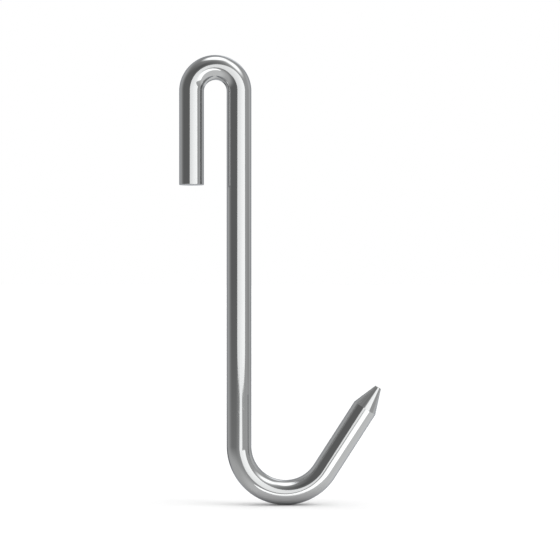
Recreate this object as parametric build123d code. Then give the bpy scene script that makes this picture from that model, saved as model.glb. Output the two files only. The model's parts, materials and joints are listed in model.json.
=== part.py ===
from build123d import *
import os

# A rail hook bent cold from one length of round stainless steel bar.
#
# The short leg drops behind a rail or the rim of a shelf, the small upper bend sits over it, and the long
# shank carries the load down to a wide lower bend. From there the arm rises outwards to a point that is
# ground on the bar's own end. Nothing is welded, pinned or fitted on, so the hook is a single solid.
#
# Millimetres and degrees. The hook hangs upright in the XZ plane: +Z is up, +X is the side that the arm
# rises on, and +Y runs through the thickness of the bar. The origin is the rail seat, the highest point
# of the inside of the upper bend, where the top of a rail bears.

# Driving dimensions
bar_diameter = 10.0     # the bar, the same all the way round both bends
overall_height = 181.8  # top of the upper bend to the underside of the lower bend
rail_gap = 9.2          # clear width between the short leg and the shank
leg_drop = 42.5         # rail seat down to the sawn end of the short leg
throat_radius = 13.7    # inside radius of the lower bend, where the load settles
arm_lean = 32.8         # how far the arm leans out from the vertical
arm_length = 30.4       # straight full-size bar between the lower bend and the point's shoulder
point_length = 10.0     # shoulder to tip, along the arm
tip_diameter = 2.6      # the small flat that blunts the tip
edge_break = 0.25       # bevel filed round the sawn end and round the tip's flat

# Sizes that follow from them
bar_radius = bar_diameter / 2
tip_radius = tip_diameter / 2
rail_bend_radius = rail_gap / 2 + bar_radius
load_bend_radius = throat_radius + bar_radius
load_bend_angle = 180 - arm_lean

# Heights of the places where the straight runs meet the bends
rail_bend_height = -rail_gap / 2
load_bend_height = bar_diameter - overall_height + throat_radius + bar_diameter


def bar_centreline():
    """The middle of the bar from the sawn end to the point's shoulder: straight runs and tangent arcs."""
    with BuildLine(Plane.XZ) as route:
        leg = Line((-rail_bend_radius, -leg_drop), (-rail_bend_radius, rail_bend_height))
        rail_bend = JernArc(leg @ 1, leg % 1, rail_bend_radius, -180)
        shank = Line(rail_bend @ 1, (rail_bend_radius, load_bend_height))
        load_bend = JernArc(shank @ 1, shank % 1, load_bend_radius, load_bend_angle)
        PolarLine(load_bend @ 1, arm_length, direction=load_bend % 1)
    return route.wire()


def bent_bar(centreline):
    """The round bar carried along its centreline, square at both ends."""
    section = Plane(origin=centreline @ 0, z_dir=centreline % 0) * Circle(bar_radius)
    return sweep(section, path=centreline)


def ground_point(centreline):
    """The short cone on the arm's end. It starts at the full bar, so its shoulder is a crisp ring."""
    shoulder = Plane(origin=centreline @ 1, z_dir=centreline % 1)
    upwards = (Align.CENTER, Align.CENTER, Align.MIN)
    return shoulder * Cone(bar_radius, tip_radius, point_length, align=upwards)


def end_edges(solid, centreline):
    """The round edges of the two flat ends: the sawn end of the leg and the blunt tip."""
    sawn_end = centreline @ 0
    tip = centreline @ 1 + (centreline % 1) * point_length
    flats = solid.faces().filter_by(GeomType.PLANE)
    return [flats.sort_by_distance(place)[0].edges()[0] for place in (sawn_end, tip)]


def hook():
    """The whole hook: the bent bar with its point, its two cut edges eased so that they don't catch."""
    centreline = bar_centreline()
    blank = bent_bar(centreline) + ground_point(centreline)
    return chamfer(end_edges(blank, centreline), edge_break)


os.makedirs("parts", exist_ok=True)
solid = hook()
export_step(solid, "parts/hook.step")
print(f"hook: {solid.volume / 1000:.2f} cm3 from {bar_centreline().length + point_length:.1f} mm of bar")
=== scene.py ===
# %% [markdown]
# # A rail hook bent from one polished steel bar
# The hook is a single length of round stainless bar. One end is sawn square, the bar is bent twice round
# formers, the other end is ground to a blunt cone, and then the whole thing is polished until it mirrors
# the room. There is almost no colour to paint, so three things carry the look: a surface that is smooth and
# true enough to mirror well, small honest marks where tools touched it, and a room that is worth mirroring.
#
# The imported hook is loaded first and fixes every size. Nothing below moves or resizes it.

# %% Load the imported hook
import json
import math

import bpy
import numpy as np
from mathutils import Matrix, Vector


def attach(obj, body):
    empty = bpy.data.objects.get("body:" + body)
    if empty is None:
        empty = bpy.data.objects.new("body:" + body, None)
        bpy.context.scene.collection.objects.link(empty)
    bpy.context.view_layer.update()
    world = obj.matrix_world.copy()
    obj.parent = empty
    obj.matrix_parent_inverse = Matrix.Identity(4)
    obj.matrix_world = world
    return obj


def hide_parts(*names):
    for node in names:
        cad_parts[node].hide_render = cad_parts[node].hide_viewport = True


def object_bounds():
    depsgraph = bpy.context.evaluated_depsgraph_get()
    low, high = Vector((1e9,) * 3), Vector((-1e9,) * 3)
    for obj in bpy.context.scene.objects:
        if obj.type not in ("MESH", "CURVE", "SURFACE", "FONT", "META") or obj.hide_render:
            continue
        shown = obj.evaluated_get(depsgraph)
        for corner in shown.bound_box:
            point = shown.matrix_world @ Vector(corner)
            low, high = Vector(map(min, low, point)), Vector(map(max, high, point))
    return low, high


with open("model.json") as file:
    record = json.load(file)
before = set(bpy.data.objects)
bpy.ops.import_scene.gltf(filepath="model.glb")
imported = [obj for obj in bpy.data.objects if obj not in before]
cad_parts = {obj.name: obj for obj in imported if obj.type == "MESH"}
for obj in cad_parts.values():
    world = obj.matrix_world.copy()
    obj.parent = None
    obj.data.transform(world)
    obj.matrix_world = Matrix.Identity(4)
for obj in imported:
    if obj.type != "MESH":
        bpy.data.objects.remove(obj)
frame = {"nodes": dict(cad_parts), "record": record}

cad_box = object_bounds()
cad_hook = frame["nodes"]["hook"]
print("packed hook, mm:", [[round(v * 1000, 2) for v in corner] for corner in cad_box])

# %% [markdown]
# ## The sizes of the bar
# The record names the places where other things fit the hook, and those places hold its driving sizes: the
# short leg's straight run, the bowl's lowest point and the straight arm. Reading them here means that this
# script never states a size twice. The ground point isn't in the record, so its rings are measured on the
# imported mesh, along the arm's own axis.

# %% Bar, bends and arm from the record
MM = 0.001
mounts = {mount["name"]: mount for mount in frame["record"]["mounts"]}
leg, bowl, arm = mounts["leg_end"], mounts["load_saddle"], mounts["arm"]
bar_radius = leg["dims"]["r_mm"] * MM
rail_bend_radius = -leg["pos_m"][0]
load_bend_radius = bowl["pos_m"][0] - rail_bend_radius
rail_bend_height = bar_radius - rail_bend_radius
load_bend_height = bowl["pos_m"][2] + load_bend_radius - bar_radius
arm_direction = Vector(arm["axis"]).normalized()
arm_length = arm["dims"]["length_mm"] * MM
arm_lean = math.atan2(arm_direction.x, arm_direction.z)
shoulder = Vector(arm["pos_m"])
print("bar, mm:", round(bar_radius * 2 / MM, 2), " bends, mm:", round(rail_bend_radius / MM, 2),
      round(load_bend_radius / MM, 2), " arm leans, degrees:", round(math.degrees(arm_lean), 2))

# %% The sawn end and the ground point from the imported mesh
cad_points = [point.co.copy() for point in cad_hook.data.vertices]
sawn_height = min(point.z for point in cad_points if point.x < 0)
edge_break = leg["pos_m"][2] - sawn_height
on_arm = [((point - shoulder).dot(arm_direction), (point - shoulder).cross(arm_direction).length)
          for point in cad_points]
on_point = [(past, width) for past, width in on_arm if past > 0 and width < bar_radius + edge_break]
point_length = max(past for past, width in on_point)
tip_radius = max(width for past, width in on_point if past > point_length - edge_break / 2) + edge_break
print("edge break, mm:", round(edge_break / MM, 3), " point, mm:", round(point_length / MM, 3),
      " tip radius, mm:", round(tip_radius / MM, 3))

# %% [markdown]
# ## The bar's centreline
# A bent bar could be a curve object with a round bevel, but a curve spaces its rings by its own rules, and
# a mirror finish shows every uneven ring as a wobble in the reflections. So the rings are placed here, one
# by one. The centreline is a list of runs, straight or bent, and a walker steps along them and gives the
# place and the heading of the bar at any distance from the sawn end.

# %% Walk along straight runs and bends
leg_length = rail_bend_height - sawn_height
shank_length = rail_bend_height - load_bend_height
rail_bend_turn = math.pi
load_bend_turn = math.pi - arm_lean
runs = [("straight", leg_length, 0), ("bend", rail_bend_turn * rail_bend_radius, rail_bend_turn),
        ("straight", shank_length, 0), ("bend", load_bend_turn * load_bend_radius, -load_bend_turn),
        ("straight", arm_length + point_length, 0)]


def bar_at(distance):
    """The bar's middle and its heading at a distance from the sawn end. A turn to the right is positive."""
    place, heading = np.array([-rail_bend_radius, sawn_height]), 0.0
    for kind, length, turn in runs:
        step = min(distance, length)
        if kind == "straight":
            place = place + step * np.array([math.sin(heading), math.cos(heading)])
        else:
            radius = length / turn
            right = np.array([math.cos(heading), -math.sin(heading)])
            heading_now = heading + turn * step / length
            right_now = np.array([math.cos(heading_now), -math.sin(heading_now)])
            place = place + radius * (right - right_now)
            heading = heading_now
        distance -= step
        if distance <= 0:
            break
    return place, heading


bar_length = sum(length for kind, length, turn in runs)
shoulder_distance = bar_length - point_length
gap = np.linalg.norm(bar_at(shoulder_distance)[0] - [shoulder.x, shoulder.z])
print("bar, mm:", round(bar_length / MM, 2), " walker misses the shoulder by, mm:", round(gap / MM, 5))

# %% [markdown]
# ## The bar's profile
# Along the bar only the radius changes, and only at the two ends: the sawn face with its filed edge, and
# the cone with its shoulder and its blunt tip. Each ring of points is written as three numbers, how far
# along the bar it lies, how wide it is, and how far its surface faces forwards. The third gives every point
# its true normal. A mirror shows a wrong normal long before it shows a wrong outline, so the normals aren't
# averaged from the faces, they come from the shape. Real edges are never razor sharp: even the crisp
# shoulder of the point is rounded by polishing, and that thin round is what catches a line of light.

# %% Rings of the two ends
facing_back, facing_out, facing_front = -math.pi / 2, 0.0, math.pi / 2
cone_slope = math.atan2(bar_radius - tip_radius, point_length)
shoulder_round = 0.5 * MM
tip_round = edge_break


def flat_rings(distance, widest, facing, count=12):
    """A flat end: rings from the middle outwards on one plane."""
    return [(distance, widest * (i + 1) / (count + 1), facing) for i in range(count)]


def rounded_rings(middle, radius, facing_from, facing_to, count=6):
    """A convex rounded edge, drawn round its own middle, which is (distance along the bar, radius)."""
    angles = np.linspace(facing_from, facing_to, count)
    return [(middle[0] + radius * math.sin(a), middle[1] + radius * math.cos(a), a) for a in angles]


sawn_rings = flat_rings(0.0, bar_radius - edge_break, facing_back)
sawn_rings += rounded_rings((edge_break, bar_radius - edge_break), edge_break, facing_back, facing_out)
shoulder_middle = (shoulder_distance - shoulder_round * math.tan(cone_slope / 2),
                   bar_radius - shoulder_round)
shoulder_rings = rounded_rings(shoulder_middle, shoulder_round, facing_out, cone_slope)
tip_middle = (bar_length - tip_round,
              tip_radius - tip_round * (1 - math.sin(cone_slope)) / math.cos(cone_slope))
tip_rings = rounded_rings(tip_middle, tip_round, cone_slope, facing_front)
tip_rings += flat_rings(bar_length, tip_middle[1], facing_front, count=5)[::-1]
print("cone slope, degrees:", round(math.degrees(cone_slope), 2))
print("rings: sawn end", len(sawn_rings), " shoulder", len(shoulder_rings), " tip", len(tip_rings))

# %% Rings of the bar and of the cone between them
straight_spacing = 1.5 * MM
bend_spacing = math.radians(2)
clear_of_ends = 0.2 * MM


def body_rings():
    """Rings at full width from the sawn edge to the shoulder, close together only where the bar is bent."""
    stops, start = [], 0.0
    for kind, length, turn in runs:
        fine = abs(turn) / bend_spacing if kind == "bend" else length / straight_spacing
        stops += list(start + np.linspace(0, length, math.ceil(fine) + 1))
        start += length
    first, last = sawn_rings[-1][0] + clear_of_ends, shoulder_rings[0][0] - clear_of_ends
    inside = sorted({round(stop, 7) for stop in stops if first < stop < last})
    return [(stop, bar_radius, facing_out) for stop in inside]


def cone_rings(count=24):
    """Rings down the cone, between its two rounded edges."""
    start, end = shoulder_rings[-1], tip_rings[0]
    shares = np.linspace(0, 1, count + 2)[1:-1]
    return [(start[0] + share * (end[0] - start[0]), start[1] + share * (end[1] - start[1]), cone_slope)
            for share in shares]


rings = sawn_rings + body_rings() + shoulder_rings + cone_rings() + tip_rings
print("rings in all:", len(rings))

# %% [markdown]
# ## From rings to a mesh
# Each ring becomes a loop of points square to the bar, and neighbouring loops are joined by four-sided
# faces, with a fan of triangles at each end. Two things are stored on the points for the materials. One is
# where the point sat while the bar was still straight, so that drawing lines follow the bends instead of
# cutting across them. The other is how far the point lies from the nearest edge that a tool cut.

# %% One ring of points
points_round = 128
angles_round = np.linspace(0, 2 * math.pi, points_round, endpoint=False)


def ring_points(ring):
    """The points of one ring, their normals and their places on the straight bar."""
    distance, radius, facing = ring
    (x, z), heading = bar_at(distance)
    along = np.array([math.sin(heading), 0.0, math.cos(heading)])
    outward = np.array([math.cos(heading), 0.0, -math.sin(heading)])
    spokes = np.outer(np.cos(angles_round), outward) + np.outer(np.sin(angles_round), [0.0, 1.0, 0.0])
    points = np.array([x, 0.0, z]) + radius * spokes
    normals = math.cos(facing) * spokes + math.sin(facing) * along
    straight = np.column_stack([radius * np.cos(angles_round), radius * np.sin(angles_round),
                                np.full(points_round, distance)])
    return points, normals, straight


print("points round the bar:", points_round, " their spacing, mm:",
      round(2 * math.pi * bar_radius / points_round / MM, 3))

# %% All points and their normals
loops = [ring_points(ring) for ring in rings]
points, normals, straight = (np.concatenate([loop[i] for loop in loops]) for i in range(3))
centres = [loops[0][0].mean(0), loops[-1][0].mean(0)]
points = np.vstack([points, centres])
normals = np.vstack([normals, loops[0][1].mean(0), loops[-1][1].mean(0)])
straight = np.vstack([straight, [0, 0, 0], [0, 0, bar_length]])
print("points:", len(points), " longest normal:", round(float(np.linalg.norm(normals, axis=1).max()), 6))

# %% How far each point lies from a worked edge
worked_edges = [0.0, shoulder_distance, bar_length]
ring_radius = np.append(np.repeat([ring[1] for ring in rings], points_round), [0, 0])
on_flat = np.append(np.repeat([abs(ring[2]) == facing_front for ring in rings], points_round), [True, True])
along_gap = np.min([abs(straight[:, 2] - edge) for edge in worked_edges], axis=0)
inward_gap = np.where(straight[:, 2] < bar_length / 2, bar_radius, tip_radius) - ring_radius
edge_distance = np.where(on_flat, inward_gap, along_gap)
print("farthest from a worked edge, mm:", round(edge_distance.max() / MM, 2))

# %% Faces, and which finish each one has
first_centre, last_centre = len(points) - 2, len(points) - 1
grid = np.arange(len(rings) * points_round).reshape(len(rings), points_round)
here, beside = grid[:-1], np.roll(grid, -1, axis=1)[:-1]
above, above_beside = grid[1:], np.roll(grid, -1, axis=1)[1:]
quads = np.stack([here, beside, above_beside, above], axis=-1).reshape(-1, 4).tolist()
first_fan = [[first_centre, b, a] for a, b in zip(grid[0], np.roll(grid[0], -1))]
last_fan = [[last_centre, a, b] for a, b in zip(grid[-1], np.roll(grid[-1], -1))]

BAR, POINT, SAWN = range(3)


def finish_between(ring, next_ring):
    """Which finish the faces between two rings have."""
    if next_ring[2] < facing_back / 2:
        return SAWN
    return POINT if ring[0] >= shoulder_distance else BAR


per_ring = [finish_between(a, b) for a, b in zip(rings[:-1], rings[1:])]
finishes = list(np.repeat(per_ring, points_round)) + [SAWN] * points_round + [POINT] * points_round
print("faces: bar", finishes.count(BAR), " ground point", finishes.count(POINT),
      " sawn", finishes.count(SAWN))

# %% The hook's mesh
hook_mesh = bpy.data.meshes.new("steel_hook")
hook_mesh.from_pydata(points.tolist(), [], quads + first_fan + last_fan)
hook_mesh.polygons.foreach_set("use_smooth", [True] * len(hook_mesh.polygons))
hook_mesh.polygons.foreach_set("material_index", finishes)
stored = hook_mesh.attributes.new("straight_bar", "FLOAT_VECTOR", "POINT")
stored.data.foreach_set("vector", straight.ravel())
stored = hook_mesh.attributes.new("edge_distance", "FLOAT", "POINT")
stored.data.foreach_set("value", edge_distance)
hook_mesh.normals_split_custom_set_from_vertices(normals.tolist())
hook_mesh.validate()
steel_hook = bpy.data.objects.new("steel_hook", hook_mesh)
bpy.context.scene.collection.objects.link(steel_hook)
print("hook mesh:", len(points), "points,", len(hook_mesh.polygons), "faces")

# %% [markdown]
# ## Standing in for the imported hook
# The imported mesh has the right shape but its facets are as long as a bend allows, and a mirror finish would
# show each one. So the new mesh is the one to look at, while the imported one is hidden but kept. Before
# they change places it is worth measuring that the two agree, and that the faces point outwards.

# %% Compare it with the imported hook, then take its place
sample_step = 37
sampled_points = [Vector(point) for point in points[::sample_step]]
hits = [cad_hook.closest_point_on_mesh(point) for point in sampled_points]
farthest = max((point - hit[1]).length for point, hit in zip(sampled_points, hits))
print("farthest from the packed surface, mm:", round(farthest / MM, 3))
face = hook_mesh.polygons[len(hook_mesh.polygons) // 3]
print("faces point outwards:", Vector(normals[face.vertices[0]]).dot(face.normal) > 0)
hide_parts("hook")
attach(steel_hook, "root")

# %% [markdown]
# ## Helpers for materials
# Materials are wired from nodes, and a few small helpers keep that readable. One adds a node and fills in
# its values, one does arithmetic on sockets or plain numbers alike, and one fades smoothly between two
# values. The others open a new node group with named inputs and outputs, place it in a material and list
# its sockets.

# %% Nodes, arithmetic and fades
def put(tree, kind, inputs=None, **settings):
    """Adds a node, sets it up and fills its inputs, with plain values or with other nodes' sockets."""
    node = tree.nodes.new(kind)
    for name, value in settings.items():
        setattr(node, name, value)
    for name, value in (inputs or {}).items():
        if isinstance(value, bpy.types.NodeSocket):
            tree.links.new(value, node.inputs[name])
        else:
            node.inputs[name].default_value = value
    return node


def sum_of(tree, operation, *terms):
    """One step of arithmetic on sockets and numbers."""
    return put(tree, "ShaderNodeMath", dict(enumerate(terms)), operation=operation).outputs[0]


def fade(tree, value, start, end, low=0.0, high=1.0):
    """Goes smoothly from low at start to high at end."""
    names = {"Value": value, "From Min": start, "From Max": end, "To Min": low, "To Max": high}
    return put(tree, "ShaderNodeMapRange", names, interpolation_type="SMOOTHSTEP").outputs["Result"]


# %% Node groups
def new_group(name, inputs, outputs):
    """A shader node group with named sockets. Returns it with its input node and its output node."""
    group = bpy.data.node_groups.new(name, "ShaderNodeTree")
    kinds = {"value": "NodeSocketFloat", "vector": "NodeSocketVector"}
    for sockets, side in ((inputs, "INPUT"), (outputs, "OUTPUT")):
        for socket, kind in sockets.items():
            group.interface.new_socket(name=socket, in_out=side, socket_type=kinds[kind])
    return group, put(group, "NodeGroupInput"), put(group, "NodeGroupOutput")


def use(tree, group, **inputs):
    """Places a group in a material. Spaces in a socket's name are written as underscores here."""
    named = {name.replace("_", " "): value for name, value in inputs.items()}
    return put(tree, "ShaderNodeGroup", named, node_tree=group)


def list_sockets(group):
    """Prints a group's name with its inputs and outputs."""
    print("group:", group.name, [item.name for item in group.interface.items_tree])


# %% [markdown]
# ## Grain
# Drawing, belting and polishing all leave fine lines in the direction of the work. The same noise makes
# every one of them if it is squeezed across the lines and stretched along them, so the grain is one group
# with the size of its cells as an input. It is fed the place on the straight bar, in millimetres, so lines
# that ran along the bar before bending still run along it afterwards.

# %% The grain group
grain_contrast = (0.3, 0.7)
grain_group, entry, result = new_group(
    "Grain", {"Place": "vector", "Cell size": "vector"}, {"Grain": "value"})
cells = put(grain_group, "ShaderNodeVectorMath",
            {0: entry.outputs["Place"], 1: entry.outputs["Cell size"]}, operation="DIVIDE")
noise = put(grain_group, "ShaderNodeTexNoise",
            {"Vector": cells.outputs[0], "Scale": 1.0, "Detail": 3.0, "Roughness": 0.6})
spread = fade(grain_group, noise.outputs[0], *grain_contrast)
grain_group.links.new(spread, result.inputs["Grain"])
list_sockets(grain_group)

# %% [markdown]
# ## Handling marks
# A hook that has been on a rail has a few hairlines, thin and short, in no particular direction. A hairline
# is the narrow place where a stretched noise crosses its middle value. A second, much larger noise lets
# them show only here and there, because marks spread evenly over a surface look like a texture and not like
# use.

# %% The handling group
streak_width = 0.9
hairline_rim = (0.003, 0.010)
region_scale = 0.16
region_rim = (0.52, 0.66)
handling_group, entry, result = new_group(
    "Handling marks", {"Place": "vector", "Turn": "vector", "Length": "value", "Amount": "value"},
    {"Hairlines": "value"})
turned = put(handling_group, "ShaderNodeVectorRotate",
             {"Vector": entry.outputs["Place"], "Rotation": entry.outputs["Turn"]},
             rotation_type="EULER_XYZ")
long_cell = put(handling_group, "ShaderNodeCombineXYZ",
                {0: streak_width, 1: streak_width, 2: entry.outputs["Length"]})
stretched = put(handling_group, "ShaderNodeVectorMath",
                {0: turned.outputs[0], 1: long_cell.outputs[0]}, operation="DIVIDE")
streaks = put(handling_group, "ShaderNodeTexNoise",
              {"Vector": stretched.outputs[0], "Scale": 1.0, "Detail": 2.0})
from_middle = sum_of(handling_group, "SUBTRACT", streaks.outputs[0], 0.5)
hairline = fade(handling_group, sum_of(handling_group, "ABSOLUTE", from_middle), *hairline_rim, 1.0, 0.0)
regions = put(handling_group, "ShaderNodeTexNoise",
              {"Vector": entry.outputs["Place"], "Scale": region_scale, "Detail": 1.0})
here_and_there = fade(handling_group, regions.outputs[0], *region_rim)
seen = sum_of(handling_group, "MULTIPLY", hairline, here_and_there)
seen = sum_of(handling_group, "MULTIPLY", seen, entry.outputs["Amount"])
handling_group.links.new(seen, result.inputs["Hairlines"])
list_sockets(handling_group)

# %% [markdown]
# ## Edge wear
# Edges rub first. Every cut edge has a narrow band that is a little rougher and duller than the polished
# faces beside it, and its border is ragged. The distance to the edge was stored on the mesh, so the group
# only has to make the band's width uneven. Noise averages a half, so doubled it keeps the width on the
# whole.

# %% The edge wear group
ragged_scale = 1.7
wear_group, entry, result = new_group(
    "Edge wear", {"Distance": "value", "Width": "value", "Place": "vector"}, {"Wear": "value"})
ragged = put(wear_group, "ShaderNodeTexNoise",
             {"Vector": entry.outputs["Place"], "Scale": ragged_scale, "Detail": 4.0})
unevenness = sum_of(wear_group, "MULTIPLY", ragged.outputs[0], 2.0)
border = sum_of(wear_group, "MULTIPLY", entry.outputs["Width"], unevenness)
across_band = sum_of(wear_group, "DIVIDE", entry.outputs["Distance"], border)
worn = put(wear_group, "ShaderNodeClamp", {"Value": sum_of(wear_group, "SUBTRACT", 1.0, across_band)})
wear_group.links.new(worn.outputs[0], result.inputs["Wear"])
list_sockets(wear_group)

# %% [markdown]
# ## Three finishes of one steel
# The bar, the ground point and the sawn face are the same metal and differ only in the tool that touched
# them last. So one function makes a steel from a plain roughness, a grain and how deep that grain is cut,
# and it is called three times. The colour comes from the record, taken down a little: polished stainless
# returns not much more than half of the light, and where the bar mirrors itself that loss counts twice and
# draws the dark lines. Base Color carries only a faint darkening in the grain, because polished metal has
# hardly any colour variation: roughness and bump do the work. The three grains differ most in the shape of
# their cells: long along the drawn bar, thin rings round the ground point, and straight strokes across the
# sawn face.
#
# At glancing angles the shader's metals brighten towards pure white, and a real bar stays a shade greyer
# and cooler there. So Specular Tint, which colours only that glancing part, is set well below white.

# %% The steel's colour, and what marks do to it
steel_slot = next(item for item in frame["record"]["materials"] if item["slot"] == "polished_steel")
mirror_share = 0.855
steel_color = [mirror_share * part for part in steel_slot["base_color"]]
grain_color = [0.9 * part for part in steel_color]
grain_cover = 0.25
glancing_tint = (0.60, 0.62, 0.67, 1)
hairline_sets = [{"Turn": (0.5, 0.3, 0.0), "Length": 14.0, "Amount": 1.0},
                 {"Turn": (-0.9, 0.8, 0.4), "Length": 9.0, "Amount": 0.7}]
hairline_roughness = 0.14
wear_roughness = 0.10
print("steel colour:", [round(part, 3) for part in steel_color])


# %% Where the grain, the hairlines and the wear lie
def surface_masks(tree, cell_size, wear_width):
    """Three masks in millimetres of the straight bar: its grain, its hairlines and its worn edges."""
    stored_place = put(tree, "ShaderNodeAttribute", attribute_name="straight_bar")
    place = put(tree, "ShaderNodeVectorMath", {0: stored_place.outputs["Vector"], "Scale": 1 / MM},
                operation="SCALE").outputs[0]
    stored_gap = put(tree, "ShaderNodeAttribute", attribute_name="edge_distance")
    gap_mm = sum_of(tree, "DIVIDE", stored_gap.outputs["Fac"], MM)
    grain = use(tree, grain_group, Place=place, Cell_size=cell_size)
    hairlines = [use(tree, handling_group, Place=place, **values).outputs["Hairlines"]
                 for values in hairline_sets]
    marks = sum_of(tree, "MAXIMUM", *hairlines)
    wear = use(tree, wear_group, Distance=gap_mm, Width=wear_width, Place=place)
    return grain.outputs["Grain"], marks, wear.outputs["Wear"]


# %% A steel with grain, hairlines and worn edges
def steel(name, roughness, cell_size, cut_depth, grain_roughness, wear_width):
    """A steel finish. The grain's cell is in millimetres, and how deep it is cut is in metres."""
    material = bpy.data.materials.new(name)
    material.use_nodes = True
    tree = material.node_tree
    shader = tree.nodes["Principled BSDF"]
    grain, marks, wear = surface_masks(tree, cell_size, wear_width)
    darker = put(tree, "ShaderNodeMix", {"Factor": sum_of(tree, "MULTIPLY", grain, grain_cover)},
                 data_type="RGBA")
    darker.inputs["A"].default_value = (*steel_color, 1)
    darker.inputs["B"].default_value = (*grain_color, 1)
    rough = sum_of(tree, "MULTIPLY_ADD", grain, grain_roughness, roughness)
    rough = sum_of(tree, "MULTIPLY_ADD", marks, hairline_roughness, rough)
    rough = sum_of(tree, "MULTIPLY_ADD", wear, wear_roughness, rough)
    height = sum_of(tree, "SUBTRACT", grain, marks)
    bump = put(tree, "ShaderNodeBump", {"Strength": 1.0, "Distance": cut_depth, "Height": height})
    shader.inputs["Metallic"].default_value = 1.0
    shader.inputs["Specular Tint"].default_value = glancing_tint
    tree.links.new(darker.outputs["Result"], shader.inputs["Base Color"])
    tree.links.new(rough, shader.inputs["Roughness"])
    tree.links.new(bump.outputs["Normal"], shader.inputs["Normal"])
    return material


# %% Polished bar, ground point and sawn face
finish_list = [
    steel("polished_bar", roughness=0.035, cell_size=(0.25, 0.25, 30.0), cut_depth=0.06e-6,
          grain_roughness=0.03, wear_width=0.4),
    steel("ground_point", roughness=0.05, cell_size=(6.0, 6.0, 0.12), cut_depth=0.05e-6,
          grain_roughness=0.03, wear_width=0.5),
    steel("sawn_face", roughness=0.22, cell_size=(0.18, 9.0, 9.0), cut_depth=6e-6,
          grain_roughness=0.15, wear_width=0.3),
]
for finish in finish_list:
    hook_mesh.materials.append(finish)
print("finishes:", [finish.name for finish in finish_list])

# %% [markdown]
# ## The floor and the plain light
# The hook stands on pale paper with its bowl touching. Two broad lamps light the paper, one overhead and
# one high on the right, so that a soft shadow gathers under the bowl and trails to the left. The world is
# white to the eye and weaker as a lamp, which keeps the background clean without washing the shadow out.
# The paper has a very faint glow of its own, which lights nothing else, so that it runs into that white.

# %% World, white to look at
hook_low, hook_high = cad_box
hook_middle = (hook_low + hook_high) / 2
ambient_strength = 0.75


def seen_directly(tree):
    """1 for rays from the eye, and for rays mirrored or refracted on their way to it."""
    path = put(tree, "ShaderNodeLightPath")
    seen = sum_of(tree, "ADD", path.outputs["Is Camera Ray"], path.outputs["Is Glossy Ray"])
    seen = sum_of(tree, "ADD", seen, path.outputs["Is Transmission Ray"])
    return sum_of(tree, "MINIMUM", seen, 1.0)


world = bpy.data.worlds.new("white_room")
world.use_nodes = True
bpy.context.scene.world = world
backdrop = world.node_tree.nodes["Background"]
backdrop.inputs["Color"].default_value = (1, 1, 1, 1)
strength = sum_of(world.node_tree, "MULTIPLY_ADD", seen_directly(world.node_tree),
                  1 - ambient_strength, ambient_strength)
world.node_tree.links.new(strength, backdrop.inputs["Strength"])
print("world: 1.0 to the eye,", ambient_strength, "as a lamp")

# %% The paper floor
floor_half = 30.0
paper_white = 0.97
paper_lift = 0.06


def flat_panel(name, corners):
    """A stage panel from the corners of one face."""
    mesh = bpy.data.meshes.new(name)
    mesh.from_pydata([tuple(corner) for corner in corners], [], [list(range(len(corners)))])
    panel = bpy.data.objects.new(name, mesh)
    bpy.context.scene.collection.objects.link(panel)
    return panel


floor = flat_panel("paper_floor", [(x * floor_half, y * floor_half, hook_low.z)
                                   for x, y in ((-1, -1), (1, -1), (1, 1), (-1, 1))])
paper = bpy.data.materials.new("pale_paper")
paper.use_nodes = True
paper_shader = paper.node_tree.nodes["Principled BSDF"]
paper_shader.inputs["Base Color"].default_value = (paper_white, paper_white, paper_white, 1)
paper_shader.inputs["Roughness"].default_value = 1.0
paper_shader.inputs["Specular IOR Level"].default_value = 0.0
paper_shader.inputs["Emission Color"].default_value = (1, 1, 1, 1)
lift = sum_of(paper.node_tree, "MULTIPLY", seen_directly(paper.node_tree), paper_lift)
paper.node_tree.links.new(lift, paper_shader.inputs["Emission Strength"])
floor.data.materials.append(paper)
floor.visible_glossy = False
print("paper at, mm:", round(hook_low.z / MM, 2), " across, m:", 2 * floor_half)


# %% Two broad lamps
def towards(azimuth, elevation):
    """A direction from the hook. Azimuth 0 is straight towards the viewer and 90 is to the right."""
    a, e = math.radians(azimuth), math.radians(elevation)
    return Vector((math.sin(a) * math.cos(e), -math.cos(a) * math.cos(e), math.sin(e)))


def broad_lamp(name, azimuth, elevation, width, strength):
    """A lamp so far away that only its direction, its width in degrees and its strength matter."""
    lamp = bpy.data.lights.new(name, "SUN")
    lamp.energy = strength
    lamp.angle = math.radians(width)
    holder = bpy.data.objects.new(name, lamp)
    holder.rotation_euler = towards(azimuth, elevation).to_track_quat("Z", "Y").to_euler()
    holder.location = hook_middle + towards(azimuth, elevation)
    holder.visible_glossy = False
    bpy.context.scene.collection.objects.link(holder)
    return holder


lamps = [broad_lamp("overhead_lamp", azimuth=0, elevation=90, width=60, strength=0.38),
         broad_lamp("key_lamp", azimuth=72, elevation=52, width=40, strength=0.7)]
print("lamps:", [(lamp.name, round(lamp.data.energy, 2)) for lamp in lamps])

# %% [markdown]
# ## What the steel mirrors
# Chrome-bright steel has no look of its own, it has the look of the room. Polished hardware is therefore
# shown inside a tent: grey cloth all round, black cloth where an edge should go dark, and lamps that shine
# in as crisp white shapes. This tent is seen by mirrored rays only. It casts no shadow and no light, so it
# can be tuned by its reflections alone.
#
# The cloth is painted by direction with a few named shapes, which need no unwrapping and are easy to move
# about. One group makes a round patch with a soft rim, the other a tall strip with soft sides, and both
# only say how strongly they cover a direction.

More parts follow.
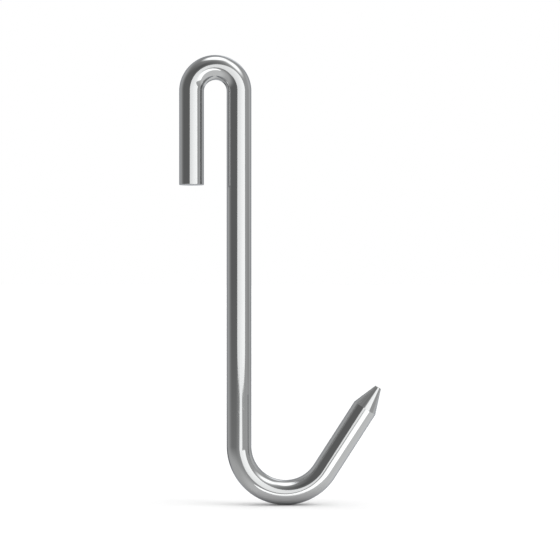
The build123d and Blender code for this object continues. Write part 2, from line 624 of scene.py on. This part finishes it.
# %% The round patch group
patch_group, entry, result = new_group(
    "Round patch", {"Direction": "vector", "Towards": "vector", "Core": "value", "Edge": "value"},
    {"Patch": "value"})
closeness = put(patch_group, "ShaderNodeVectorMath",
                {0: entry.outputs["Direction"], 1: entry.outputs["Towards"]}, operation="DOT_PRODUCT")
angle_off = sum_of(patch_group, "DEGREES", sum_of(patch_group, "ARCCOSINE", closeness.outputs["Value"]))
patch = fade(patch_group, angle_off, entry.outputs["Core"], entry.outputs["Edge"], 1.0, 0.0)
patch_group.links.new(patch, result.inputs["Patch"])
list_sockets(patch_group)

# %% The tall strip group
strip_top_edge = (-4.0, -9.0)
strip_bottom_edge = (-26.0, -17.0)
strip_soft_side = 2.5
strip_group, entry, result = new_group(
    "Tall strip", {"Direction": "vector", "Azimuth": "value", "Half width": "value"}, {"Strip": "value"})
axes = put(strip_group, "ShaderNodeSeparateXYZ", {0: entry.outputs["Direction"]}).outputs
backwards = sum_of(strip_group, "MULTIPLY", axes["Y"], -1.0)
azimuth = sum_of(strip_group, "DEGREES", sum_of(strip_group, "ARCTAN2", axes["X"], backwards))
height = sum_of(strip_group, "DEGREES", sum_of(strip_group, "ARCSINE", axes["Z"]))
off_strip = sum_of(strip_group, "SUBTRACT", azimuth, entry.outputs["Azimuth"])
off_strip = sum_of(strip_group, "ABSOLUTE", sum_of(strip_group, "WRAP", off_strip, 180.0, -180.0))
soft_side = sum_of(strip_group, "ADD", entry.outputs["Half width"], strip_soft_side)
strip = fade(strip_group, off_strip, entry.outputs["Half width"], soft_side, 1.0, 0.0)
strip = sum_of(strip_group, "MULTIPLY", strip, fade(strip_group, height, *strip_top_edge))
strip = sum_of(strip_group, "MULTIPLY", strip, fade(strip_group, height, *strip_bottom_edge))
strip_group.links.new(strip, result.inputs["Strip"])
list_sockets(strip_group)

# %% [markdown]
# ## Glowing cloth
# The tent and its panels only glow, so their material is a bare Emission shader. Its colour is a very
# slightly cool white, because cloth and paper are never quite neutral, and a mirror shows that. The colour
# is scaled by the painted brightness. The steel returns about half of it, so it turns white only near 2.

# %% A glowing material, and hiding its wearer from all but mirrored rays
cool_white = (0.985, 1.0, 0.992)


def glow(name, brightness_from):
    """A material that only glows. The brightness comes from a function that is given the tree."""
    material = bpy.data.materials.new(name)
    material.use_nodes = True
    tree = material.node_tree
    tree.nodes.clear()
    color = put(tree, "ShaderNodeVectorMath", {0: cool_white, "Scale": brightness_from(tree)},
                operation="SCALE")
    light = put(tree, "ShaderNodeEmission", {"Color": color.outputs[0], "Strength": 1.0})
    put(tree, "ShaderNodeOutputMaterial", {"Surface": light.outputs[0]})
    return material


def mirrored_only(thing):
    """Hidden from the eye, and neither a lamp nor a shadow to anything: only mirrored rays meet it."""
    thing.visible_camera = False
    thing.visible_diffuse = False
    thing.visible_transmission = False
    thing.visible_volume_scatter = False
    thing.visible_shadow = False


# %% [markdown]
# ## The tent, from all sides
# In front, the walls are what gives the bar its long dark and pale bands: black cloth on the left, a grey
# wall on the right, and paler cloth low down, where a table would be. Behind the hook, a viewer in front
# sees nothing of the room except in the last sliver of each outline, but the hook can be seen from any
# side. So two bright strips and two dark ones stand there, low enough to keep out of the front view, and
# the back gets crisp bands as well.
#
# Each patch below is a name, an azimuth and an elevation, the sizes of its core and its edge, and a
# brightness. Each strip is a name, an azimuth, half its width and a brightness. All angles are in degrees.

# %% What hangs where
wall, table, lamp_white = 0.55, 0.64, 2.34
wall_patches = [("left_wall", -118, 28, 24, 40, 0.63), ("right_wall", 122, 17, 10, 30, 0.71),
                ("grey_right", 97, -1, 0, 15, 0.40), ("dim_front", -5, 43, 5, 25, 0.35),
                ("dim_left", -93, 69, 19, 35, 0.42), ("black_left", -48, 12, 22, 72, 0.19),
                ("black_front", -22, 32, 0, 20, 0.16), ("back_window", 165, 35, 1, 20, 1.75)]
table_patches = [("pale_table", 112, -52, 30, 51, 0.99), ("table_foot", 30, -66, 34, 63, 0.92)]
strips = [("side_strip", 149, 7, 1.29), ("side_flag", 168, 8, 0.19),
          ("back_strip", -168, 9, 1.29), ("back_flag", -144, 11, 0.19)]
ceiling_patches = [("key_above", 70, 63, 0, 22, lamp_white), ("key_below", 63, 51, 0, 25, lamp_white)]
table_fade = (1.0, -25.0)
ceiling_fade = (63.0, 80.0)
print("patches:", len(wall_patches + table_patches + ceiling_patches), " strips:", len(strips))


# %% The cloth, painted by direction
def lay(tree, under, over, mask):
    """Lays one brightness over another where the mask is 1."""
    return sum_of(tree, "MULTIPLY_ADD", mask, sum_of(tree, "SUBTRACT", over, under), under)


def lay_patches(tree, direction, under, patches):
    """Lays round patches over the cloth, in the order of the list."""
    for name, azimuth, elevation, core, edge, over in patches:
        mask = use(tree, patch_group, Direction=direction, Towards=towards(azimuth, elevation),
                   Core=float(core), Edge=float(edge)).outputs["Patch"]
        under = lay(tree, under, over, mask)
    return under


def lay_strips(tree, direction, under):
    """Lays the tall strips over the cloth."""
    for name, azimuth, half_width, over in strips:
        mask = use(tree, strip_group, Direction=direction, Azimuth=float(azimuth),
                   Half_width=float(half_width)).outputs["Strip"]
        under = lay(tree, under, over, mask)
    return under


def tent_brightness(tree):
    """Walls first, then the table below, then the open top with its lamps, each laid over the last."""
    place = put(tree, "ShaderNodeTexCoord").outputs["Object"]
    direction = put(tree, "ShaderNodeVectorMath", {0: place}, operation="NORMALIZE").outputs[0]
    height = put(tree, "ShaderNodeSeparateXYZ", {0: direction}).outputs["Z"]
    elevation = sum_of(tree, "DEGREES", sum_of(tree, "ARCSINE", height))
    glowing = lay_patches(tree, direction, wall, wall_patches)
    glowing = lay(tree, glowing, table, fade(tree, elevation, *table_fade))
    glowing = lay_patches(tree, direction, glowing, table_patches)
    glowing = lay_strips(tree, direction, glowing)
    glowing = lay(tree, glowing, lamp_white, fade(tree, elevation, *ceiling_fade))
    return lay_patches(tree, direction, glowing, ceiling_patches)


# %% The tent itself, a large sphere round the hook
tent_radius = 3.0
steps_round, steps_up = 96, 48
tent_points = [tuple(towards(azimuth, elevation) * tent_radius)
               for elevation in np.linspace(-90, 90, steps_up + 1)
               for azimuth in np.arange(steps_round) * 360 / steps_round]
tent_grid = np.arange(len(tent_points)).reshape(steps_up + 1, steps_round)
tent_beside = np.roll(tent_grid, -1, axis=1)
tent_faces = np.stack([tent_grid[:-1], tent_beside[:-1], tent_beside[1:], tent_grid[1:]], axis=-1)
tent_mesh = bpy.data.meshes.new("cloth_tent")
tent_mesh.from_pydata(tent_points, [], tent_faces.reshape(-1, 4).tolist())
tent = bpy.data.objects.new("cloth_tent", tent_mesh)
tent.location = hook_middle
bpy.context.scene.collection.objects.link(tent)
tent.data.materials.append(glow("tent_cloth", tent_brightness))
mirrored_only(tent)
print("tent:", len(tent_mesh.polygons), "faces, radius, m:", tent_radius)

# %% [markdown]
# ## Two shaped lights
# Crisp bright shapes are what the eye reads as polish, so these two are real panels with a true outline and
# not paint on the tent. The softbox is a half round that stands on a shallow curve, ahead and to the right.
# The low card is a white wedge that opens downwards below it. Both outlines are worked out in degrees as
# seen from the hook, and then put on a sphere a little inside the tent. Neither is evenly bright: a softbox
# is brightest near its lamp, and a leaning card is greyish along its upper edge.

# %% The softbox's outline
softbox_middle = (22.4, -2.8)
softbox_reach = 36.9
softbox_drop = 2.0


def softbox_outline(count=72):
    """A half round above its middle, and a shallow half ellipse under it."""
    turns = np.linspace(0, 2 * math.pi, count, endpoint=False)
    rises = [softbox_reach if math.sin(turn) > 0 else softbox_drop for turn in turns]
    return [(softbox_middle[0] + softbox_reach * math.cos(turn), softbox_middle[1] + rise * math.sin(turn))
            for turn, rise in zip(turns, rises)]


print("softbox spans azimuths:", round(softbox_middle[0] - softbox_reach, 1), "to",
      round(softbox_middle[0] + softbox_reach, 1))

# %% The low card's outline
card_azimuth = 18.7
card_top, card_bottom = -2.8, -26.8
card_half_top, card_half_width = 8.4, 31.8
card_flare = 19.0
card_corner = 1.0


def low_card_outline():
    """A wedge that is narrow at the top, with its lower corners taken off."""
    side = [(card_half_top, card_top), (card_half_width, card_top - card_flare),
            (card_half_width, card_bottom + card_corner), (card_half_width - card_corner, card_bottom)]
    return ([(card_azimuth + x, y) for x, y in side]
            + [(card_azimuth - x, y) for x, y in reversed(side)])


print("low card spans azimuths:", round(card_azimuth - card_half_width, 1), "to",
      round(card_azimuth + card_half_width, 1))

# %% How bright they are
softbox_fade = {"start": -0.8, "end": 2.2, "low": 1.35, "high": 1.75}
low_card_fade = {"start": -0.12, "end": -0.9, "low": 1.58, "high": 2.22}


def along_panel(tree, axis):
    """How far along one of the room's axes a spot of the panel lies, in metres from the hook."""
    place = put(tree, "ShaderNodeTexCoord").outputs["Object"]
    return put(tree, "ShaderNodeSeparateXYZ", {0: place}).outputs[axis]


def softbox_brightness(tree):
    """Brighter towards the side where its lamp hangs."""
    return fade(tree, along_panel(tree, "X"), **softbox_fade)


def low_card_brightness(tree):
    """Greyish along the upper edge, and white further down."""
    return fade(tree, along_panel(tree, "Z"), **low_card_fade)


# %% The two panels
panel_distance = 2.6


def shaped_light(name, outline, brightness_from):
    """A glowing panel with that outline, a fan of faces round its middle."""
    middle = np.mean(outline, axis=0)
    spread_points = [tuple(towards(*spot) * panel_distance) for spot in [middle, *outline]]
    count = len(outline)
    mesh = bpy.data.meshes.new(name)
    mesh.from_pydata(spread_points, [], [[0, i + 1, (i + 1) % count + 1] for i in range(count)])
    panel = bpy.data.objects.new(name, mesh)
    panel.location = hook_middle
    bpy.context.scene.collection.objects.link(panel)
    panel.data.materials.append(glow(name, brightness_from))
    mirrored_only(panel)
    return panel


shaped_lights = [shaped_light("softbox", softbox_outline(), softbox_brightness),
                 shaped_light("low_card", low_card_outline(), low_card_brightness)]
print("shaped lights:", [(panel.name, len(panel.data.polygons)) for panel in shaped_lights])

# %% [markdown]
# ## The table under the bowl
# Right under the hook the steel should mirror its own contact shadow, or the bowl seems to float. So a
# small grey disc lies on the paper for mirrored rays only. It is an ordinary matt surface, so the shadow
# falls on it by itself, and it thins out from its middle to its rim, so that the bowl mirrors no hard edge.

# %% A grey disc for the contact shadow
disc_radius = 32 * MM
disc_core = 0.05
disc_lift = 0.03 * MM
disc_behind = 3 * MM
disc_grey = 0.60
disc_middle = Vector((bowl["pos_m"][0], disc_behind, hook_low.z + disc_lift))
rim = [disc_middle + disc_radius * Vector((math.cos(angle), math.sin(angle), 0)) for angle in angles_round]
disc = flat_panel("grey_disc", rim)
print("disc middle, mm:", [round(v / MM, 2) for v in disc_middle], " radius, mm:", disc_radius / MM)

# %% Its matt grey, thinning out towards the rim
disc_paint = bpy.data.materials.new("grey_disc")
disc_paint.use_nodes = True
disc_tree = disc_paint.node_tree
disc_tree.nodes.clear()
position = put(disc_tree, "ShaderNodeNewGeometry").outputs["Position"]
from_middle = put(disc_tree, "ShaderNodeVectorMath", {0: position, 1: disc_middle}, operation="DISTANCE")
solid = fade(disc_tree, from_middle.outputs["Value"], disc_radius * disc_core, disc_radius, 1.0, 0.0)
matt = put(disc_tree, "ShaderNodeBsdfDiffuse", {"Color": (disc_grey, disc_grey, disc_grey, 1)})
clear = put(disc_tree, "ShaderNodeBsdfTransparent")
both = put(disc_tree, "ShaderNodeMixShader", {0: solid, 1: clear.outputs[0], 2: matt.outputs[0]})
put(disc_tree, "ShaderNodeOutputMaterial", {"Surface": both.outputs[0]})
disc.data.materials.append(disc_paint)
mirrored_only(disc)

# %% [markdown]
# ## The camera
# The hook is seen straight from its flat side, level with its middle, from well back with a long lens, so
# that the shank stays truly upright.

# %% Level camera
camera_distance = 0.7
sensor_mm, lens_mm = 36.0, 111.3
camera_data = bpy.data.cameras.new("camera")
camera_data.sensor_width = sensor_mm
camera_data.lens = lens_mm
camera = bpy.data.objects.new("camera", camera_data)
camera.location = hook_middle + towards(0, 0) * camera_distance
camera.rotation_euler = (math.pi / 2, 0, 0)
bpy.context.scene.collection.objects.link(camera)
bpy.context.scene.camera = camera
bpy.context.scene.view_settings.view_transform = "Standard"
print("camera, m:", [round(v, 3) for v in camera.location],
      " field of view, degrees:", round(math.degrees(camera_data.angle), 1))
